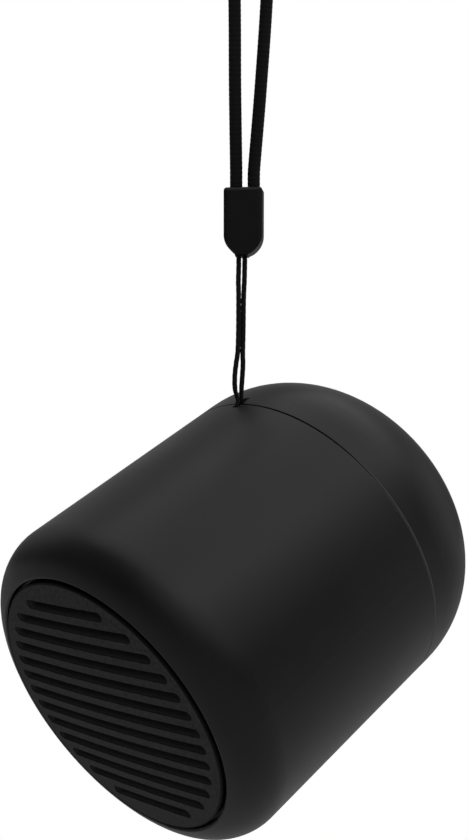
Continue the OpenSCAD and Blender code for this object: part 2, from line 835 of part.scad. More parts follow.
module battery_tray() {
    notch_w = 6;
    notch_lift = 1;
    notch_y = battery_route[0][1];
    color("#333333") hanging() difference() {
        at_z(tray_z) union() {
            rounded_plate(tray_l, tray_w, tray_t + tray_wall_h, cell_round);
            for (s = [-1, 1]) translate([s * post_x, 0, 0])
                rounded_plate(2 * post_r, 2 * (post_y + post_r), tray_t, post_r - eps);
        }
        at_z(tray_z + tray_t)
            rounded_plate(cell_l + 2 * cell_gap, cell_w + 2 * cell_gap, tray_wall_h + eps, cell_round / 2);
        at_posts() at_z(tray_z - eps) cylinder(r = pilot_r + fit_gap, h = tray_t + 2 * eps);
        translate([cell_l / 2, notch_y - notch_w / 2, tray_z + tray_t + notch_lift])
            cube([tray_l, notch_w, tray_wall_h]);
    }
}

module tray_screws() {
    color("#9a9a9a") hanging() at_posts() at_z(tray_z + tray_t) screw(screw_len - fit_gap);
}

module battery_pad() {
    color("#3c3c3c") hanging() at_z(tray_z + tray_t)
        rounded_plate(cell_l - 2 * pad_inset, cell_w - 2 * pad_inset, pad_thick, cell_round);
}

module battery_cell() {
    color("#c0c4c8") hanging() at_z(cell_z) rounded_plate(cell_l, cell_w, cell_h, cell_round / 2);
}

// A pair of wires side by side along one route
module wire_pair(route, apart) {
    for (s = [-1, 1])
        cord(smooth([for (q = route) q + s * apart / 2 * [0, 1, 0]], 2), wire_d / 2, [0, 1, 0]);
}

module battery_wires() {
    color("#b02020") hanging() wire_pair(battery_route, wire_pitch);
}

module speaker_wires() {
    color("#202020") hanging() wire_pair(speaker_route, wire_pitch);
}

// Circuit board and what stands on it

module circuit_board() {
    color("#1e5a34") hanging() difference() {
        at_z(board_z) cylinder(r = board_r, h = board_t);
        at_posts() at_z(board_z - eps) cylinder(r = post_r + 4 * fit_gap, h = board_t + 2 * eps);
        at_board_screws() at_z(board_z - eps) cylinder(r = pilot_r + fit_gap, h = board_t + 2 * eps);
    }
}

module board_screws() {
    color("#9a9a9a") hanging() at_board_screws() at_z(board_top) screw(screw_len - board_t);
}

module wireless_module() {
    can = [12, 9, 2.2];
    can_y = 7;
    can_round = 0.5;
    color("#b8bcc0") hanging() translate([0, can_y, board_top])
        rounded_plate(can[0], can[1], can[2], can_round);
}

module amplifier_chip() {
    chip = [5, 5, 1];
    chip_x = -7;
    chip_y = -2;
    chip_round = 0.2;
    color("#1a1a1a") hanging() translate([chip_x, chip_y, board_top])
        rounded_plate(chip[0], chip[1], chip[2], chip_round);
}

module capacitors() {
    can_r = 2;
    can_h = 3.2;
    can_y = -10;
    can_x = [4, 9];
    color("#4a5a78") hanging() for (x = can_x) translate([x, can_y, board_top])
        cylinder(r = can_r, h = can_h);
}

// Two pole wire connector; its wires come in from the board's edge
module connector(spot) {
    bore = connector_w / 2;
    translate([spot[0], spot[1], board_top]) difference() {
        rounded_plate(connector_w, connector_l, connector_h, connector_round);
        for (s = [-1, 1])
            translate([sign(spot[0]) * bore, s * wire_pitch / 2, connector_h / 2]) rotate([0, 90, 0])
                cylinder(d = wire_d / 2, h = 2 * bore, center = true);
    }
}

module battery_connector() {
    color("#e4e0d4") hanging() connector(battery_plug);
}

module speaker_connector() {
    color("#e4e0d4") hanging() connector(speaker_plug);
}

module usb_socket() {
    depth = board_z - pocket_depth - 2 * fit_gap;
    color("#b4b8bc") hanging() translate([0, port_y, board_z - depth]) difference() {
        linear_extrude(depth) stadium(port_w, port_h);
        translate([0, 0, -eps]) linear_extrude(depth - tongue_back + eps)
            stadium(port_w - 2 * port_wall, port_h - 2 * port_wall);
    }
}

module usb_tongue() {
    depth = board_z - pocket_depth - 2 * fit_gap;
    color("#161616") hanging() translate([0, port_y, board_z - depth + tongue_back])
        linear_extrude(depth - 2 * tongue_back) square([tongue_w, tongue_t], center = true);
}

module switch_body() {
    color("#2a2a2a") hanging() difference() {
        translate([-switch_w / 2, button_y - switch_w / 2, switch_z]) cube([switch_w, switch_w, switch_h]);
        translate([0, button_y, switch_z - eps]) cylinder(r = plunger_r + run_gap, h = switch_h - 1);
    }
}

// Moving pieces of the rear panel

module switch_plunger() {
    room = 0.2;
    color("#d8d8d0") hanging() translate([0, button_y, plunger_z])
        cylinder(r = plunger_r, h = switch_z - plunger_z + switch_h - 1 - button_travel - room);
}

module power_button() {
    dish_r = 14;
    dish = 0.35;
    stem_r = 1.2;
    color("#1d1d1d") hanging() translate([0, button_y, 0]) difference() {
        union() {
            at_z(button_drop) cylinder(r = button_r, h = collar_z - button_drop + eps);
            at_z(collar_z) cylinder(r = button_flange_r, h = button_flange_t);
            at_z(collar_z) cylinder(r = stem_r, h = plunger_z - collar_z);
        }
        at_z(button_drop + dish - dish_r) sphere(dish_r);
        at_z(button_seal_z - button_groove / 2) ring(button_r + 1, button_r - button_groove, button_groove);
    }
}

module button_seal() {
    color("#101010") hanging() translate([0, button_y, button_seal_z]) rotate_extrude()
        translate([button_r - button_seal_r, 0]) circle(button_seal_r);
}

module port_cover() {
    rib_l = port_w + 2 * (rib_edge + rib_w);
    rib_h = port_h + 2 * (rib_edge + rib_w);
    rib_drop = pocket_depth - cover_face - cover_t - fit_gap;
    nail_r = 1.4;
    color("#1d1d1d") hanging() {
        difference() {
            union() {
                translate([-cover_w / 2, -hinge_y, cover_face]) cube([cover_w, cover_len, cover_t]);
                translate([0, -hinge_y, axle_z]) rotate([0, 90, 0])
                    cylinder(r = hinge_bead_r, h = cover_w, center = true);
                translate([0, -hinge_y, axle_z]) rotate([0, 90, 0])
                    cylinder(r = axle_r, h = cover_w + 2 * axle_len, center = true);
                translate([0, port_y, cover_face + cover_t - eps]) linear_extrude(rib_drop) difference() {
                    stadium(rib_l, rib_h);
                    stadium(rib_l - 2 * rib_w, rib_h - 2 * rib_w);
                }
            }
            translate([0, -hinge_y + cover_len, 0]) cylinder(r = nail_r, h = cover_t / 2);
        }
    }
}

module status_led() {
    chip = [1.6, 0.8, led_h];
    color("#e8f0e0") hanging() translate([-light_x - chip[0] / 2, light_y - chip[1] / 2, board_z - led_h])
        cube(chip);
}

module light_pipe() {
    color("#d0dce0") hanging() translate([-light_x, light_y, 0]) {
        cylinder(r = light_r, h = board_z - led_h - fit_gap);
        at_z(wall) cylinder(r = light_flange_r, h = light_flange_t);
    }
}

module microphone() {
    can = [2.8, 2, mic_h];
    color("#c8b070") hanging() translate([light_x - can[0] / 2, light_y - can[1] / 2, board_z - mic_h])
        cube(can);
}

module mic_boot() {
    color("#181818") hanging() translate([light_x, light_y, wall])
        ring(light_flange_r, light_r / 2, board_z - mic_h - wall);
}

wrist_strap();
lanyard_string();
cord_ferrule();
main_shell();
rear_cap();
seam_ring();
lanyard_pin();
grille_plate();
water_membrane();
foam_ring();
seat_gasket();
driver_frame();
driver_screws();
top_plate();
magnet();
yoke();
driver_terminals();
diaphragm();
dust_cap();
voice_coil();
surround();
spider();
battery_tray();
tray_screws();
battery_pad();
battery_cell();
battery_wires();
speaker_wires();
circuit_board();
board_screws();
wireless_module();
amplifier_chip();
capacitors();
battery_connector();
speaker_connector();
usb_socket();
usb_tongue();
switch_body();
switch_plunger();
power_button();
button_seal();
status_led();
light_pipe();
microphone();
mic_boot();
port_cover();
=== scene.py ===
import math

import bpy
import numpy as np
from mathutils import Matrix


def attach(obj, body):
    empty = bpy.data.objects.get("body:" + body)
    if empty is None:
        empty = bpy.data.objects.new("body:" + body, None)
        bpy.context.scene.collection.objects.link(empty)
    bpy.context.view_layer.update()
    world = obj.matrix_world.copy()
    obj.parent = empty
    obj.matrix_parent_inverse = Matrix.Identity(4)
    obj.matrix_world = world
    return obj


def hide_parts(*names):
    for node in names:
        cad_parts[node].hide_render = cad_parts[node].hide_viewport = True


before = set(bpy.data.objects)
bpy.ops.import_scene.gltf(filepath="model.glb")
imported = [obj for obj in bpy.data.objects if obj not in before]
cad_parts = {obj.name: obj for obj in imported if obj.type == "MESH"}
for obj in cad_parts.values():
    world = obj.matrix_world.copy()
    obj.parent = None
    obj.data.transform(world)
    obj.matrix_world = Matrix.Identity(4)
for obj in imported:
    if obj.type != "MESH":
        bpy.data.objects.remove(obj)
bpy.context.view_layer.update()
scene = bpy.context.scene

# Camera: stands a little above the speaker and to the right of its grille, about 20 cm away, with a lens
# of about 54 mm. The shift puts the middle of the lens where the photograph has it.
camera_dip, camera_turn = 4.08, 47.66
camera_data = bpy.data.cameras.new("photo_camera")
camera_data.lens = 53.91
camera_data.sensor_width = 36
camera_data.shift_x = 0.0248
camera_data.shift_y = 0.1033
camera_data.clip_start = 0.01
camera = bpy.data.objects.new("photo_camera", camera_data)
camera.location = (0.14685, -0.13973, -0.1370)
camera.rotation_euler = (math.radians(90 - camera_dip), 0, math.radians(camera_turn))
scene.collection.objects.link(camera)
scene.camera = camera

# Wrist strap: a 2 mm round cord of black nylon, braided from twenty bundles of yarn, ten wound each way.
# It is one loop whose two ends are moulded into the ferrule, and it hangs by its crown from a hook or a
# finger. Its strands are given as across and up, in millimetres from the hook.
MM = 0.001
lanyard_turn = math.radians(40)
loop_height = 100.8
strap_diameter, strap_spacing, strap_sides = 2, 0.16, 48
braid_depth = 0.045
crown_radius = 5
left_strand = [
    (-0.73, -loop_height), (-0.73, -98.8), (-0.75, -96.8), (-0.93, -85), (-1.05, -70), (-1.6, -50),
    (-3.3, -30), (-4.7, -14),
]
right_strand = [
    (4.9, -14), (5, -30), (4.8, -50), (4.13, -70), (3.16, -85), (2.2, -96.8), (2.08, -98.8),
    (2.08, -loop_height),
]
crown = [
    (crown_radius * math.cos(a), crown_radius * math.sin(a) + strap_diameter / 2 - crown_radius)
    for a in np.radians(np.arange(170, 0, -20))
]


def smooth_route(points, spacing):
    """Evenly spaced points, in millimetres, on a smooth curve through the points given."""
    steps_between = 40
    p = np.array(points, float)
    before, after = np.vstack([p[:1], p[:-2]]), np.vstack([p[2:], p[-1:]])
    fine = []
    for a, b, c, d in zip(before, p[:-1], p[1:], after):
        for f in np.linspace(0, 1, steps_between, endpoint=False):
            fine.append(0.5 * (2 * b + (c - a) * f + (2 * a - 5 * b + 4 * c - d) * f ** 2
                               + (3 * b - a - 3 * c + d) * f ** 3))
    fine = np.array(fine + [p[-1]])
    along = np.concatenate([[0], np.cumsum(np.linalg.norm(np.diff(fine, axis=0), axis=1))])
    steps = np.linspace(0, along[-1], max(2, round(along[-1] / spacing)) + 1)
    return np.stack([np.interp(steps, along, fine[:, k]) for k in range(3)], axis=1)


def swept_cord(name, route, radius, sides, relief, depth):
    """Closed tube along a route in millimetres; relief(along, turn) is 1 where its yarn stands proud and 0
    where it is sunk by the depth."""
    tangent = np.gradient(route, axis=0)
    tangent /= np.linalg.norm(tangent, axis=1)[:, None]
    along = np.concatenate([[0], np.cumsum(np.linalg.norm(np.diff(route, axis=0), axis=1))])
    side = np.array([0.0, 1.0, 0.0])
    turn = np.arange(sides) / sides
    angle = 2 * math.pi * turn
    rings, heights = [], []
    for centre, t, s in zip(route, tangent, along):
        side = side - (side @ t) * t
        side /= np.linalg.norm(side)
        other = np.cross(t, side)
        height = relief(s, turn)
        around = np.outer(np.cos(angle), side) + np.outer(np.sin(angle), other)
        rings.append(centre + around * (radius - depth * (1 - height))[:, None])
        heights.append(height)
    rows = len(route)
    faces = []
    for i in range(rows - 1):
        for k in range(sides):
            here, onward, n = i * sides, (i + 1) * sides, (k + 1) % sides
            faces.append((here + k, here + n, onward + n, onward + k))
    faces.append(tuple(range(sides - 1, -1, -1)))
    faces.append(tuple(range((rows - 1) * sides, rows * sides)))
    mesh = bpy.data.meshes.new(name)
    mesh.from_pydata((np.concatenate(rings) * MM).tolist(), [], faces)
    mesh.shade_smooth()
    level = mesh.attributes.new("yarn_height", "FLOAT", "POINT")
    level.data.foreach_set("value", np.concatenate(heights).astype(np.float32))
    cord = bpy.data.objects.new(name, mesh)
    scene.collection.objects.link(cord)
    return cord


def braid_relief(along, turn, bundles=10, lay=7.6):
    """Height of a round braid: bundles of yarn wound both ways, each passing over and under in turn."""
    a, b = turn * bundles + along * bundles / lay, turn * bundles - along * bundles / lay
    over_a = np.sqrt(np.sin(math.pi * (a % 1))) + 0.5 * np.cos(math.pi * (b + np.floor(a)))
    over_b = np.sqrt(np.sin(math.pi * (b % 1))) - 0.5 * np.cos(math.pi * (a + np.floor(b)))
    return np.clip(np.maximum(over_a, over_b) / 1.5, 0, 1)


strap_points = [
    (across * math.cos(lanyard_turn), across * math.sin(lanyard_turn), up)
    for across, up in left_strand + crown + right_strand
]
strap_route = smooth_route(strap_points, strap_spacing)
wrist_strap = swept_cord(
    "braided_strap", strap_route, strap_diameter / 2, strap_sides, braid_relief, braid_depth)


def linear(hex_colour):
    """An sRGB hex colour as linear red, green, blue and alpha."""
    values = [int(hex_colour[i:i + 2], 16) / 255 for i in (1, 3, 5)]
    return [v / 12.92 if v <= 0.04045 else ((v + 0.055) / 1.055) ** 2.4 for v in values] + [1]


def add(tree, kind, settings, inputs):
    """Adds a node with its settings; an input that is a node's socket is linked, any other is its value."""
    node = tree.nodes.new(kind)
    for name, value in settings.items():
        setattr(node, name, value)
    for name, value in inputs.items():
        if isinstance(value, bpy.types.NodeSocket):
            tree.links.new(value, node.inputs[name])
        else:
            node.inputs[name].default_value = value
    return node


def new_material(name, **values):
    """A material with a Principled shader whose sockets hold the values given, such as Roughness."""
    material = bpy.data.materials.new(name)
    material.use_nodes = True
    shader = material.node_tree.nodes["Principled BSDF"]
    for socket, value in values.items():
        shader.inputs[socket.replace("_", " ")].default_value = value
    return material, material.node_tree, shader


# Nylon yarn: dull black, with painted shade that makes the gaps between the bundles darker than their tops.
# Its filaments are far finer than the fibres drawn here, which are as coarse as they need to be to show.
nylon_braid, tree, shader = new_material(
    "black_nylon_braid", Roughness=0.85, Specular_IOR_Level=0.2, IOR=1.53)
fibre_mm, fibre_share, fibre_depth_mm = 0.12, 0.5, 0.03
yarn = add(tree, "ShaderNodeAttribute", {"attribute_name": "yarn_height"}, {})
place = add(tree, "ShaderNodeTexCoord", {}, {})
fibres = add(tree, "ShaderNodeTexNoise", {}, {
    "Vector": place.outputs["Object"], "Scale": 1000 / fibre_mm, "Detail": 2, "Roughness": 0.6})
height = add(tree, "ShaderNodeMath", {"operation": "MULTIPLY_ADD"}, {
    0: fibres.outputs["Fac"], 1: fibre_share, 2: yarn.outputs["Fac"]})
# Painted shade: the lower the yarn lies in the braid, the darker its colour.
shade_by_height = add(tree, "ShaderNodeMapRange", {}, {
    "Value": height.outputs[0], "From Min": 0.35, "From Max": 1.35})
colour = add(tree, "ShaderNodeMix", {"data_type": "RGBA"}, {
    0: shade_by_height.outputs[0], 6: linear("#060607"), 7: linear("#131314")})
bump = add(tree, "ShaderNodeBump", {}, {
    "Height": fibres.outputs["Fac"], "Strength": 0.35, "Distance": fibre_depth_mm * MM})
tree.links.new(colour.outputs[2], shader.inputs["Base Color"])
tree.links.new(bump.outputs["Normal"], shader.inputs["Normal"])
wrist_strap.data.materials.append(nylon_braid)
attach(wrist_strap, "lanyard")
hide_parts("wrist_strap")


# Ferrule: a small flat piece of black PVC, moulded over the ends of the strap and of the string. Its faces
# are satin from the mould, and its edges and shoulders are rounded.
def dress(material, *nodes):
    """Gives CAD nodes their finish."""
    for name in nodes:
        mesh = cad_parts[name].data
        mesh.materials.clear()
        mesh.materials.append(material)


def moulded(name, dark, pale, patch_mm, grain_mm, grain_depth_mm, roughness, spread, **values):
    """A material of two close tones in soft patches, with a grain, drawn no finer than can show, and a
    roughness that wanders a little from patch to patch."""
    grain_share, dark_below, pale_above = 0.35, 0.45, 0.95
    material, tree, shader = new_material(name, **values)
    place = add(tree, "ShaderNodeTexCoord", {}, {})
    patches = add(tree, "ShaderNodeTexNoise", {}, {
        "Vector": place.outputs["Object"], "Scale": 1000 / patch_mm, "Detail": 3, "Roughness": 0.55})
    grain = add(tree, "ShaderNodeTexNoise", {}, {
        "Vector": place.outputs["Object"], "Scale": 1000 / grain_mm, "Detail": 2, "Roughness": 0.5})
    tones = add(tree, "ShaderNodeMath", {"operation": "MULTIPLY_ADD"}, {
        0: grain.outputs["Fac"], 1: grain_share, 2: patches.outputs["Fac"]})
    share = add(tree, "ShaderNodeMapRange", {}, {
        "Value": tones.outputs[0], "From Min": dark_below, "From Max": pale_above})
    colour = add(tree, "ShaderNodeMix", {"data_type": "RGBA"}, {
        0: share.outputs[0], 6: linear(dark), 7: linear(pale)})
    rough = add(tree, "ShaderNodeMapRange", {}, {
        "Value": patches.outputs["Fac"], "From Min": 0.3, "From Max": 0.7,
        "To Min": roughness - spread, "To Max": roughness + spread})
    bump = add(tree, "ShaderNodeBump", {}, {
        "Height": grain.outputs["Fac"], "Strength": 1, "Distance": grain_depth_mm * MM})
    tree.links.new(colour.outputs[2], shader.inputs["Base Color"])
    tree.links.new(rough.outputs[0], shader.inputs["Roughness"])
    tree.links.new(bump.outputs["Normal"], shader.inputs["Normal"])
    return material


# Moulded PVC: near black, with a soft satin light along the rounded edges.
satin_pvc = moulded(
    "black_satin_pvc", "#0b0b0c", "#101011", patch_mm=4, grain_mm=0.25, grain_depth_mm=0.006,
    roughness=0.42, spread=0.05, IOR=1.53, Specular_IOR_Level=0.2)
dress(satin_pvc, "cord_ferrule")

# Lanyard string: thin three-ply polyester thread, doubled. It leaves the ferrule, runs round the steel pin
# in the body's parting line and goes back up; halfway, the two strands lie side by side. Each point of a
# strand has its distance and direction from the pair's middle, its height over the pin and the pair's lean.
string_diameter, string_spacing, string_sides = 0.74, 0.11, 18
yarn_proud, ply_depth = 0.035, 0.04
ferrule_height, string_drop = 10.8, 24
pin_drop = loop_height + ferrule_height + string_drop
pin_diameter, pin_gap = 0.8, 0.05
loop_radius = pin_diameter / 2 + pin_gap + string_diameter / 2
string_strand = [
    (0.82, 90, 0.3, 0), (0.7, 90, 0.7, 0), (0.42, 88, 1.4, -0.12), (0.48, 80, 2.1, -0.26),
    (0.6, 72, 3.4, -0.36), (0.64, 66, 5.2, -0.3), (0.58, 62, 7, -0.16), (0.44, 65, 8.6, -0.06),
    (0.42, 69, 10, 0), (0.42, 71, 13, 0.06), (0.42, 68, 16.4, 0.08), (0.43, 61, 18.4, 0.1),
    (0.48, 46, 20.2, 0.12), (0.48, 41, 21.4, 0.15), (0.48, 40, 22.4, 0.17), (0.48, 40, 23.2, 0.18),
    (0.48, 40, string_drop, 0.18),
]


def strand(side):
    """Points of one of the two strands, side -1 or 1, from the pin up."""
    points = []
    for out, direction, height, lean in string_strand:
        a = math.radians(direction)
        points.append((
            side * out * math.cos(a) + lean * math.cos(lanyard_turn),
            side * out * math.sin(a) + lean * math.sin(lanyard_turn),
            height - pin_drop,
        ))
    return points


round_the_pin = [
    (0, loop_radius * math.cos(a), loop_radius * math.sin(a) - pin_drop)
    for a in np.radians(np.arange(180, 361, 22.5))
]
string_route = smooth_route(strand(-1)[::-1] + round_the_pin + strand(1), string_spacing)
string_middle = np.linalg.norm(np.diff(string_route, axis=0), axis=1).sum() / 2
pressed_reach, pressed_fade = 3.2, 1.5


def thread_relief(along, turn, plies=3, lay=3.4):
    """Height of a thread twisted from a few plies; the pin and the body's mouth press it thinner, to -1."""
    loose = np.clip((abs(along - string_middle) - pressed_reach) / pressed_fade, 0, 1)
    return loose * (1 + np.sqrt(np.sin(math.pi * ((turn * plies + along * plies / lay) % 1)))) - 1


lanyard_string = swept_cord(
    "twisted_string", string_route, string_diameter / 2 + yarn_proud, string_sides, thread_relief,
    ply_depth)
# Polyester thread: dull black, with its plies as slanting ribs whose grooves are painted darker, as painted
# shade.
polyester, tree, shader = new_material(
    "black_polyester_thread", Roughness=0.85, Specular_IOR_Level=0.2, IOR=1.55)
yarn = add(tree, "ShaderNodeAttribute", {"attribute_name": "yarn_height"}, {})
# Painted shade: the thread is darker where it lies low, between the plies and where it is pressed.
colour = add(tree, "ShaderNodeMix", {"data_type": "RGBA"}, {
    0: yarn.outputs["Fac"], 6: linear("#060606"), 7: linear("#131314")})
tree.links.new(colour.outputs[2], shader.inputs["Base Color"])
lanyard_string.data.materials.append(polyester)
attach(lanyard_string, "lanyard")
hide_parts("lanyard_string")

# Lanyard pin: a short length of drawn steel wire, nickel plated, that lies in a groove between shell and
# cap and carries the body. The plating is a warm grey metal with soft, slightly cloudy reflections.
nickel = moulded(
    "nickel_plated_steel", "#8f8d88", "#a5a39d", patch_mm=3, grain_mm=0.12, grain_depth_mm=0.002,
    roughness=0.3, spread=0.06, Metallic=1)
dress(nickel, "lanyard_pin")

# Housing: front shell and domed rear cap, moulded in ABS and sprayed with black lacquer. The cap snaps into
# the shell. At both sides of the body, a painted highlight lies along the edges of the parting line.
tilt = math.radians(27.5)
pin_y, cap_length = 27.25, 21.5
seam_highlight_from, seam_highlight_full = 16, 26
highlight_reach, highlight_full = 0.24, 0.14


def hang(points):
    """Points of the body as it stands on its rear face, in millimetres, moved to where it hangs."""
    p = np.array(points, float)
    y, z = p[:, 1] - pin_y, p[:, 2] - cap_length
    back = -y * math.sin(tilt) - z * math.cos(tilt)
    up = y * math.cos(tilt) - z * math.sin(tilt) - pin_drop
    return np.stack([p[:, 0], back, up], axis=1)


body_origin = tuple(hang([(0, 0, 0)])[0] * MM)
body_turn = (math.radians(90) + tilt, 0, 0)


def on_body(tree):
    """Coordinates in the body's own frame, in metres, with Z along its axis from the rear face."""
    place = add(tree, "ShaderNodeTexCoord", {}, {})
    return add(tree, "ShaderNodeMapping", {"vector_type": "TEXTURE"}, {
        "Vector": place.outputs["Object"], "Location": body_origin, "Rotation": body_turn,
    }).outputs["Vector"]


# Soft-touch lacquer: matt and very dark, pale where seen at a flat angle, with a painted highlight along
# the parting line at the sides. Its grain is drawn coarser than the real one, so that it shows.
soft_touch = moulded(
    "black_soft_touch_lacquer", "#0d0d0e", "#121213", patch_mm=16, grain_mm=0.16, grain_depth_mm=0.004,
    roughness=0.4, spread=0.03, IOR=1.5, Specular_IOR_Level=0.31)
tree = soft_touch.node_tree
shader = tree.nodes["Principled BSDF"]
where = add(tree, "ShaderNodeSeparateXYZ", {}, {"Vector": on_body(tree)})
across = add(tree, "ShaderNodeMath", {"operation": "ABSOLUTE"}, {0: where.outputs["X"]})
# Painted highlight: a pale grey band on the parting line's edges, only towards the body's two sides.
at_highlit_sides = add(tree, "ShaderNodeMapRange", {"interpolation_type": "SMOOTHSTEP"}, {
    "Value": across.outputs[0], "From Min": seam_highlight_from * MM, "From Max": seam_highlight_full * MM})
past_seam = add(tree, "ShaderNodeMath", {"operation": "SUBTRACT"}, {
    0: where.outputs["Z"], 1: cap_length * MM})
from_seam = add(tree, "ShaderNodeMath", {"operation": "ABSOLUTE"}, {0: past_seam.outputs[0]})
on_edge = add(tree, "ShaderNodeMapRange", {}, {
    "Value": from_seam.outputs[0], "From Min": highlight_reach * MM, "From Max": highlight_full * MM})
painted_seam_highlight = add(tree, "ShaderNodeMath", {"operation": "MULTIPLY"}, {
    0: at_highlit_sides.outputs[0], 1: on_edge.outputs[0]})
colour = add(tree, "ShaderNodeMix", {"data_type": "RGBA"}, {
    0: painted_seam_highlight.outputs[0], 6: shader.inputs["Base Color"].links[0].from_socket, 7: linear("#6a6a6c")})
tree.links.new(colour.outputs[2], shader.inputs["Base Color"])
dress(soft_touch, "main_shell", "rear_cap")

# Seam ring: an O-ring of moulded red silicone in the spigot's groove, hidden once the cap is snapped in. It
# is a dull brick red with a slightly waxy light.
red_silicone = moulded(
    "red_silicone", "#6e241c", "#7d2c22", patch_mm=2, grain_mm=0.1, grain_depth_mm=0.002,
    roughness=0.5, spread=0.05, IOR=1.41)
dress(red_silicone, "seam_ring")

# Grille: a shallow dome of black ABS with thirteen slots, pressed into the shell's rim. The slots' walls
# are painted paler as painted light, and the eased edge in the gap to the rim is painted near black as
# painted shade.
grille_top, dome_radius, face_radius = 66.6, 396.3, 21.8
slot_light_from, slot_light_full, gap_shade_fade = 0.05, 0.35, 0.05
# Spark-eroded ABS: matt, with a mottled grain that breaks up the light.
eroded_abs = moulded(
    "spark_eroded_black_abs", "#030304", "#414142", patch_mm=0.65, grain_mm=0.25, grain_depth_mm=0.05,
    roughness=0.6, spread=0.1, IOR=1.53, Specular_IOR_Level=0.14)
tree = eroded_abs.node_tree
shader = tree.nodes["Principled BSDF"]
where = on_body(tree)
from_dome = add(tree, "ShaderNodeVectorMath", {"operation": "DISTANCE"}, {
    0: where, 1: (0, 0, (grille_top - dome_radius) * MM)})
# Painted light: below the dome's face, the slots' walls turn pale grey.
in_slot = add(tree, "ShaderNodeMapRange", {}, {
    "Value": from_dome.outputs["Value"], "From Min": (dome_radius - slot_light_from) * MM,
    "From Max": (dome_radius - slot_light_full) * MM})
painted_slot_light = add(tree, "ShaderNodeMix", {"data_type": "RGBA"}, {
    0: in_slot.outputs[0], 6: shader.inputs["Base Color"].links[0].from_socket, 7: linear("#4e4e4f")})
flat = add(tree, "ShaderNodeVectorMath", {"operation": "MULTIPLY"}, {0: where, 1: (1, 1, 0)})
from_axis = add(tree, "ShaderNodeVectorMath", {"operation": "LENGTH"}, {0: flat.outputs["Vector"]})
# Painted shade: near the grille's edge, in the gap to the rim, the colour turns near black.
painted_gap_shade = add(tree, "ShaderNodeMapRange", {}, {
    "Value": from_axis.outputs["Value"], "From Min": (face_radius - gap_shade_fade) * MM,
    "From Max": (face_radius + gap_shade_fade) * MM})
colour = add(tree, "ShaderNodeMix", {"data_type": "RGBA"}, {
    0: painted_gap_shade.outputs[0], 6: painted_slot_light.outputs[2], 7: linear("#030303")})
tree.links.new(colour.outputs[2], shader.inputs["Base Color"])
dress(eroded_abs, "grille_plate")

# Behind the grille: a stretched disc of water-repellent polyester mesh, the foam ring that presses it
# against the grille, and the rubber gasket under the driver's flange.
cloth_radius, cloth_low, cloth_high = 17.97, 63.9, 64.2
cloth_rings, cloth_steps = 18, 72
cloth_points = []
for level in (cloth_low, cloth_high):
    cloth_points.append((0, 0, level))
    for i in range(1, cloth_rings + 1):
        for a in np.linspace(0, 2 * math.pi, cloth_steps, endpoint=False):
            r = cloth_radius * i / cloth_rings
            cloth_points.append((r * math.cos(a), r * math.sin(a), level))
side_count = 1 + cloth_rings * cloth_steps
cloth_faces = []
for base, flip in ((0, True), (side_count, False)):
    for k in range(cloth_steps):
        n = (k + 1) % cloth_steps
        rows = [(base, base + 1 + k, base + 1 + n)]
        for i in range(cloth_rings - 1):
            inner, outer = base + 1 + i * cloth_steps, base + 1 + (i + 1) * cloth_steps
            rows.append((inner + k, outer + k, outer + n, inner + n))
        cloth_faces += [f[::-1] if flip else f for f in rows]
low_edge, high_edge = side_count - cloth_steps, 2 * side_count - cloth_steps
for k in range(cloth_steps):
    n = (k + 1) % cloth_steps
    cloth_faces.append((low_edge + k, low_edge + n, high_edge + n, high_edge + k))
cloth_mesh = bpy.data.meshes.new("membrane_cloth")
cloth_mesh.from_pydata((hang(cloth_points) * MM).tolist(), [], cloth_faces)
membrane = bpy.data.objects.new("membrane_cloth", cloth_mesh)
scene.collection.objects.link(membrane)


def band_scale(width_mm):
    """Scale at which a wave texture's bands, and the gaps between them, have this width."""
    return 1000 / width_mm / 20 * math.pi


def woven(name, dark, pale, thread_mm, crossing, wander, depth_mm, **values):
    """A plain weave in the body's X and Y: two sets of threads that cross by the operation named."""
    material, tree, shader = new_material(name, **values)
    where = on_body(tree)
    warp, weft = [
        add(tree, "ShaderNodeTexWave", {"bands_direction": axis}, {
            "Vector": where, "Scale": band_scale(thread_mm), "Distortion": wander})
        for axis in ("X", "Y")
    ]
    weave = add(tree, "ShaderNodeMath", {"operation": crossing}, {
        0: warp.outputs["Fac"], 1: weft.outputs["Fac"]})
    colour = add(tree, "ShaderNodeMix", {"data_type": "RGBA"}, {
        0: weave.outputs[0], 6: linear(dark), 7: linear(pale)})
    bump = add(tree, "ShaderNodeBump", {}, {"Height": weave.outputs[0], "Distance": depth_mm * MM})
    tree.links.new(colour.outputs[2], shader.inputs["Base Color"])
    tree.links.new(bump.outputs["Normal"], shader.inputs["Normal"])
    return material


# Woven polyester mesh: black, with small dark holes between paler threads, which are drawn coarser than the
# real ones so that they show.
mesh_cloth = woven(
    "black_polyester_mesh", "#131313", "#2c2c2d", thread_mm=0.45, crossing="MAXIMUM", wander=0,
    depth_mm=0.08, Roughness=0.8, IOR=1.5)
membrane.data.materials.append(mesh_cloth)
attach(membrane, "speaker")
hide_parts("water_membrane")
# Cut foam: dull black, with open pores that show as pits.
cell_foam = moulded(
    "black_cell_foam", "#101010", "#1c1c1c", patch_mm=1.5, grain_mm=0.35, grain_depth_mm=0.06,
    roughness=0.9, spread=0.04, IOR=1.45)
dress(cell_foam, "foam_ring")
# Moulded rubber: black and dull, with the mould's fine grain.
black_rubber = moulded(
    "black_moulded_rubber", "#121213", "#19191a", patch_mm=3, grain_mm=0.15, grain_depth_mm=0.004,
    roughness=0.6, spread=0.06, IOR=1.52)
dress(black_rubber, "seat_gasket")

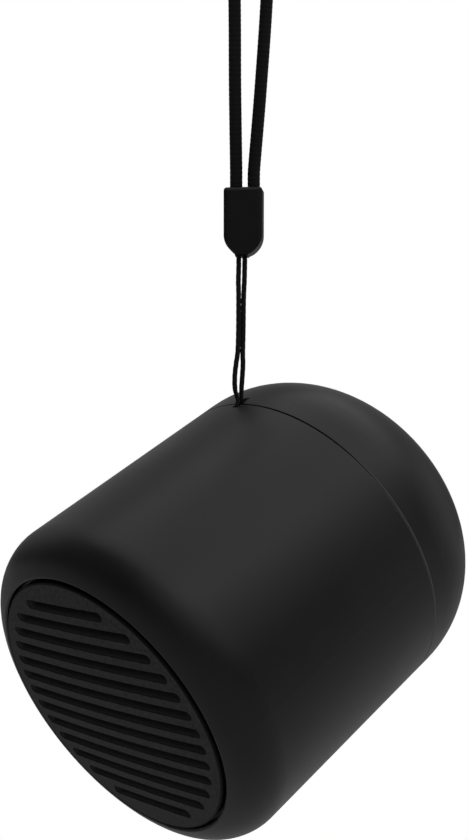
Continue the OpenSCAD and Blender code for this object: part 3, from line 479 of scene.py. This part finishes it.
# Driver, fixed pieces: a deep-drawn steel basket, powder coated black, held by four plated screws; a
# zinc-plated top plate and yoke clamp a ring of ferrite, and a small board carries the terminals.
# Powder coat: black, half matt, with a fine orange peel.
black_sheet = moulded(
    "powder_coated_steel", "#171718", "#222223", patch_mm=5, grain_mm=0.3, grain_depth_mm=0.015,
    roughness=0.52, spread=0.06, IOR=1.5)
dress(black_sheet, "driver_frame")
dress(nickel, "driver_screws", "tray_screws", "board_screws")
# Zinc plating: a bluish grey metal, clouded in patches.
zinc = moulded(
    "zinc_plated_steel", "#8c9094", "#a9acae", patch_mm=2.5, grain_mm=0.2, grain_depth_mm=0.003,
    roughness=0.36, spread=0.08, Metallic=1)
dress(zinc, "top_plate", "yoke")
# Sintered ferrite: charcoal grey and dull, like fine-grained stone.
ferrite = moulded(
    "sintered_ferrite", "#232426", "#313235", patch_mm=2, grain_mm=0.25, grain_depth_mm=0.02,
    roughness=0.68, spread=0.08, IOR=2.0)
dress(ferrite, "magnet")
# Pressed phenolic board: plain brown, flecked by its paper.
terminal_board = moulded(
    "phenolic_paper_board", "#8a6236", "#a37a48", patch_mm=1.5, grain_mm=0.15, grain_depth_mm=0.004,
    roughness=0.6, spread=0.05, IOR=1.55)
dress(terminal_board, "driver_terminals")

# Driver, moving pieces: a cone and dust cap of pressed black paper pulp, a coil of enamelled copper wire, a
# rubber surround and a corrugated spider of resin-dipped cloth.
# Pressed pulp: soft black, with paler fibres, and rough like felt.
paper_pulp = moulded(
    "black_paper_pulp", "#191919", "#2a2a2a", patch_mm=0.9, grain_mm=0.2, grain_depth_mm=0.05,
    roughness=0.82, spread=0.05, IOR=1.5)
dress(paper_pulp, "diaphragm", "dust_cap")
dress(black_rubber, "surround")
# Wound copper wire: bright ribs side by side, with painted shade as dark lines between the turns.
copper, tree, shader = new_material("enamelled_copper_wire", Metallic=1, Roughness=0.34)
wire_mm, wire_depth_mm = 0.16, 0.04
turns = add(tree, "ShaderNodeTexWave", {"bands_direction": "Z"}, {
    "Vector": on_body(tree), "Scale": band_scale(wire_mm), "Distortion": 0.3})
# Painted shade: the copper is darker between the turns.
colour = add(tree, "ShaderNodeMix", {"data_type": "RGBA"}, {
    0: turns.outputs["Fac"], 6: linear("#6f3417"), 7: linear("#c4703b")})
bump = add(tree, "ShaderNodeBump", {}, {"Height": turns.outputs["Fac"], "Distance": wire_depth_mm * MM})
tree.links.new(colour.outputs[2], shader.inputs["Base Color"])
tree.links.new(bump.outputs["Normal"], shader.inputs["Normal"])
dress(copper, "voice_coil")
# Resin-dipped cotton: stiff amber cloth whose threads, drawn coarser than real ones, show through.
spider_cloth = woven(
    "resin_dipped_cotton", "#8d6d31", "#c9a55c", thread_mm=0.6, crossing="MULTIPLY", wander=0.6,
    depth_mm=0.06, Roughness=0.7, IOR=1.5)
dress(spider_cloth, "spider")

# Battery: a flat lithium cell in a pouch of aluminium laminate, stuck by a foam pad to a moulded tray that
# is screwed to posts inside the shell.
# Uncoated ABS: dark grey, half matt from the mould.
inner_abs = moulded(
    "natural_black_abs", "#1c1c1d", "#262627", patch_mm=6, grain_mm=0.2, grain_depth_mm=0.004,
    roughness=0.48, spread=0.05, IOR=1.53)
dress(inner_abs, "battery_tray")
dress(cell_foam, "battery_pad")
# Laminate foil: pale silver, dulled by its plastic skin and slightly crinkled.
laminate = moulded(
    "aluminium_laminate", "#a2a5a6", "#b9bcbd", patch_mm=5, grain_mm=0.5, grain_depth_mm=0.03,
    roughness=0.38, spread=0.08, Metallic=1)
dress(laminate, "battery_cell")

# Wires: two pairs of stranded hook-up wire in smooth PVC, one red and one black in each, from the driver's
# terminals and from the cell down to their plugs on the board.
wire_diameter, wire_spacing, wire_sides = 1.1, 0.3, 20
pair_gap = 1.6
speaker_wire = [
    (-17.17, 0, 46.8), (-17.97, 0, 46.8), (-18.77, 0, 46.8), (-20.45, -1, 45.5), (-20.75, -3, 37.3),
    (-20.65, -4.5, 25.5), (-20.65, -6.2, 17.5), (-20.65, -6.8, 16.4), (-19.44, -7, 14.2),
    (-18.64, -7, 14.2), (-17.84, -7, 14.2),
]
battery_wire = [
    (17.03, 5, 22), (17.83, 5, 22), (18.63, 5, 22), (20.45, 5.4, 21.5), (20.65, 6, 18.5),
    (20.65, 6.8, 16.4), (19.44, 7, 14.2), (18.64, 7, 14.2), (17.84, 7, 14.2),
]


def smooth_skin(along, turn):
    """Relief of a smooth wire, which is the same all round."""
    return np.ones_like(turn)


# Extruded PVC: an even colour with a soft gloss along the wire.
red_pvc, black_pvc = [
    moulded(name, dark, pale, patch_mm=2, grain_mm=0.3, grain_depth_mm=0.004, roughness=0.4, spread=0.06,
            IOR=1.53)
    for name, dark, pale in (
        ("red_wire_pvc", "#8c1f1a", "#a32a22"), ("black_wire_pvc", "#141415", "#1d1d1e"))
]
for pair, middle in (("speaker_wires", speaker_wire), ("battery_wires", battery_wire)):
    for colour_name, pvc, shift in (("red", red_pvc, pair_gap / 2), ("black", black_pvc, -pair_gap / 2)):
        route = smooth_route(hang([(x, y + shift, z) for x, y, z in middle]), wire_spacing)
        wire = swept_cord(
            pair + "_" + colour_name, route, wire_diameter / 2, wire_sides, smooth_skin, 0)
        wire.data.materials.append(pvc)
        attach(wire, "speaker")
        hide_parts(pair)

# Circuit board: glass-epoxy laminate with green solder mask, on four posts of the rear cap. It carries a
# shielded wireless module, the amplifier chip, capacitors and two plug housings.
# Solder mask: glossy green, paler and slightly raised over the copper.
mask_green, tree, shader = new_material("green_solder_mask", Roughness=0.36, IOR=1.5)
track_mm, track_depth_mm = 1.3, 0.03
track_edge, track_full = 0.72, 0.8
tracks = add(tree, "ShaderNodeTexVoronoi", {"distance": "MANHATTAN", "feature": "F2"}, {
    "Vector": on_body(tree), "Scale": 1000 / track_mm, "Randomness": 0.6})
copper_under = add(tree, "ShaderNodeMapRange", {"interpolation_type": "SMOOTHSTEP"}, {
    "Value": tracks.outputs["Distance"], "From Min": track_edge, "From Max": track_full})
colour = add(tree, "ShaderNodeMix", {"data_type": "RGBA"}, {
    0: copper_under.outputs[0], 6: linear("#123d22"), 7: linear("#1d5a30")})
bump = add(tree, "ShaderNodeBump", {}, {
    "Height": copper_under.outputs[0], "Distance": track_depth_mm * MM})
tree.links.new(colour.outputs[2], shader.inputs["Base Color"])
tree.links.new(bump.outputs["Normal"], shader.inputs["Normal"])
dress(mask_green, "circuit_board")
# Tinplate: pale bright metal, faintly clouded.
tinplate = moulded(
    "tinned_sheet", "#9a9c9e", "#b0b2b3", patch_mm=4, grain_mm=0.25, grain_depth_mm=0.004,
    roughness=0.33, spread=0.07, Metallic=1)
dress(tinplate, "wireless_module", "usb_socket")
# Moulded epoxy: charcoal black and dull, finely pitted.
epoxy = moulded(
    "moulded_black_epoxy", "#171718", "#212122", patch_mm=1.5, grain_mm=0.12, grain_depth_mm=0.01,
    roughness=0.6, spread=0.05, IOR=1.55)
dress(epoxy, "amplifier_chip", "usb_tongue", "switch_body")
# Drawn aluminium: silvery, with soft, clear reflections.
can_aluminium = moulded(
    "drawn_aluminium_can", "#a9aaac", "#bfc0c1", patch_mm=3, grain_mm=0.2, grain_depth_mm=0.003,
    roughness=0.3, spread=0.06, Metallic=1)
dress(can_aluminium, "capacitors", "microphone")
# Undyed nylon: a milky off-white with a soft gloss.
nylon_white = moulded(
    "natural_nylon", "#cfc8b6", "#ded8c8", patch_mm=3, grain_mm=0.2, grain_depth_mm=0.004,
    roughness=0.45, spread=0.05, IOR=1.53)
dress(nylon_white, "battery_connector", "speaker_connector", "switch_plunger")

# Rear panel: a button of black ABS over its rubber seal, a clear light pipe over the status lamp, a rubber
# boot round the microphone and a hinged rubber flap over the charging socket.
# Spark-eroded ABS: like the grille's, but with a shallower grain.
button_abs = moulded(
    "spark_eroded_button_abs", "#141415", "#1b1b1c", patch_mm=2, grain_mm=0.25, grain_depth_mm=0.012,
    roughness=0.56, spread=0.05, IOR=1.53)
dress(button_abs, "power_button")
dress(black_rubber, "button_seal", "mic_boot")
# Moulded acrylic: clear, with a trace of haze.
clear_acrylic, tree, shader = new_material(
    "clear_acrylic", Transmission_Weight=0.9, IOR=1.49, Roughness=0.12)
haze_mm = 0.8
place = add(tree, "ShaderNodeTexCoord", {}, {})
haze = add(tree, "ShaderNodeTexNoise", {}, {
    "Vector": place.outputs["Object"], "Scale": 1000 / haze_mm, "Detail": 2})
colour = add(tree, "ShaderNodeMix", {"data_type": "RGBA"}, {
    0: haze.outputs["Fac"], 6: linear("#d9dcdc"), 7: linear("#eef0f0")})
tree.links.new(colour.outputs[2], shader.inputs["Base Color"])
dress(clear_acrylic, "light_pipe", "status_led")
# Moulded silicone: black and dull, a little softer in its light than the rubber.
flap_rubber = moulded(
    "black_flap_silicone", "#131314", "#1a1a1b", patch_mm=4, grain_mm=0.2, grain_depth_mm=0.006,
    roughness=0.58, spread=0.06, IOR=1.41)
dress(flap_rubber, "port_cover")

# Surroundings: a pale floor that fades to white round the object, a room with seven soft panels round it
# and a large soft box overhead. The dark lacquer shows mostly what it mirrors, so the panels' places set
# the body's shading. Lengths are in metres.
floor_level, floor_half = -0.30, 3
below_object = (0, -0.02, floor_level)
fade_start, fade_end, fade_least = 0.05, 0.28, 0.5
mirror_start, mirror_end = 2, 3
floor_data = bpy.data.meshes.new("studio_floor")
floor_data.from_pydata(
    [(x * floor_half, y * floor_half, floor_level) for x, y in ((-1, -1), (1, -1), (1, 1), (-1, 1))],
    [], [(0, 1, 2, 3)])
floor = bpy.data.objects.new("studio_floor", floor_data)
scene.collection.objects.link(floor)
# Floor paint: matt and pale. It takes the shadow under the object and turns to plain white farther out.
floor_paint, tree, shader = new_material("pale_studio_floor", Roughness=0.9)
shader.inputs["Base Color"].default_value = linear("#e0e0e0")
place = add(tree, "ShaderNodeTexCoord", {}, {})
reach = add(tree, "ShaderNodeVectorMath", {"operation": "DISTANCE"}, {
    0: place.outputs["Object"], 1: below_object})
near_fade = add(tree, "ShaderNodeMapRange", {"interpolation_type": "SMOOTHSTEP"}, {
    "Value": reach.outputs["Value"], "From Min": fade_start, "From Max": fade_end, "To Min": fade_least})
far_fade = add(tree, "ShaderNodeMapRange", {"interpolation_type": "SMOOTHSTEP"}, {
    "Value": reach.outputs["Value"], "From Min": mirror_start, "From Max": mirror_end})
ray = add(tree, "ShaderNodeLightPath", {}, {})
seen = add(tree, "ShaderNodeMath", {"operation": "MAXIMUM"}, {
    0: ray.outputs["Is Camera Ray"], 1: ray.outputs["Is Transmission Ray"]})
straight = add(tree, "ShaderNodeMath", {"operation": "MULTIPLY"}, {
    0: near_fade.outputs[0], 1: seen.outputs[0]})
white_share = add(tree, "ShaderNodeMath", {"operation": "MULTIPLY_ADD"}, {
    0: far_fade.outputs[0], 1: ray.outputs["Is Glossy Ray"], 2: straight.outputs[0]})
white = add(tree, "ShaderNodeEmission", {}, {"Color": (1, 1, 1, 1), "Strength": 1})
floor_mix = add(tree, "ShaderNodeMixShader", {}, {
    0: white_share.outputs[0], 1: shader.outputs[0], 2: white.outputs[0]})
tree.links.new(floor_mix.outputs[0], tree.nodes["Material Output"].inputs["Surface"])
floor_data.materials.append(floor_paint)

# Each panel has its azimuth and elevation in degrees and its brightness in the middle, and fades out where
# the cosine of the angle from its middle falls to panel_edge.
even_light, panel_edge = 0.09, 0.85
panels = (
    (138, 8, 0.34), (66, 8, 0.4), (-42, 38, 0.64), (3, 38, 0.75), (48, 38, 0.2), (93, 38, 0.2),
    (183, 38, 0.38),
)
room = bpy.data.worlds.new("studio_room")
room.use_nodes = True
scene.world = room
tree = room.node_tree
background = tree.nodes["Background"]
place = add(tree, "ShaderNodeTexCoord", {}, {})
glow = None
for azimuth, elevation, brightness in panels:
    a, e = math.radians(azimuth), math.radians(elevation)
    toward = (math.cos(e) * math.cos(a), math.cos(e) * math.sin(a), math.sin(e))
    facing = add(tree, "ShaderNodeVectorMath", {"operation": "DOT_PRODUCT"}, {
        0: place.outputs["Generated"], 1: toward})
    panel = add(tree, "ShaderNodeMapRange", {}, {
        "Value": facing.outputs["Value"], "From Min": panel_edge, "From Max": 1, "To Max": brightness})
    glow = add(tree, "ShaderNodeMath", {"operation": "ADD"}, {
        0: panel.outputs[0], 1: glow.outputs[0] if glow else even_light})
ray = add(tree, "ShaderNodeLightPath", {}, {})
seen = add(tree, "ShaderNodeMath", {"operation": "MAXIMUM"}, {
    0: ray.outputs["Is Camera Ray"], 1: ray.outputs["Is Transmission Ray"]})
strength = add(tree, "ShaderNodeMath", {"operation": "MAXIMUM"}, {
    0: glow.outputs[0], 1: seen.outputs[0]})
background.inputs["Color"].default_value = (1, 1, 1, 1)
tree.links.new(strength.outputs[0], background.inputs["Strength"])

softbox = bpy.data.lights.new("softbox_overhead", "AREA")
softbox.shape = "SQUARE"
softbox.size = 0.74
softbox.energy = 1.5
softbox_holder = bpy.data.objects.new("softbox_overhead", softbox)
softbox_holder.location = (0.09, 0.1, 0.3)
scene.collection.objects.link(softbox_holder)

scene.view_settings.view_transform = "Standard"
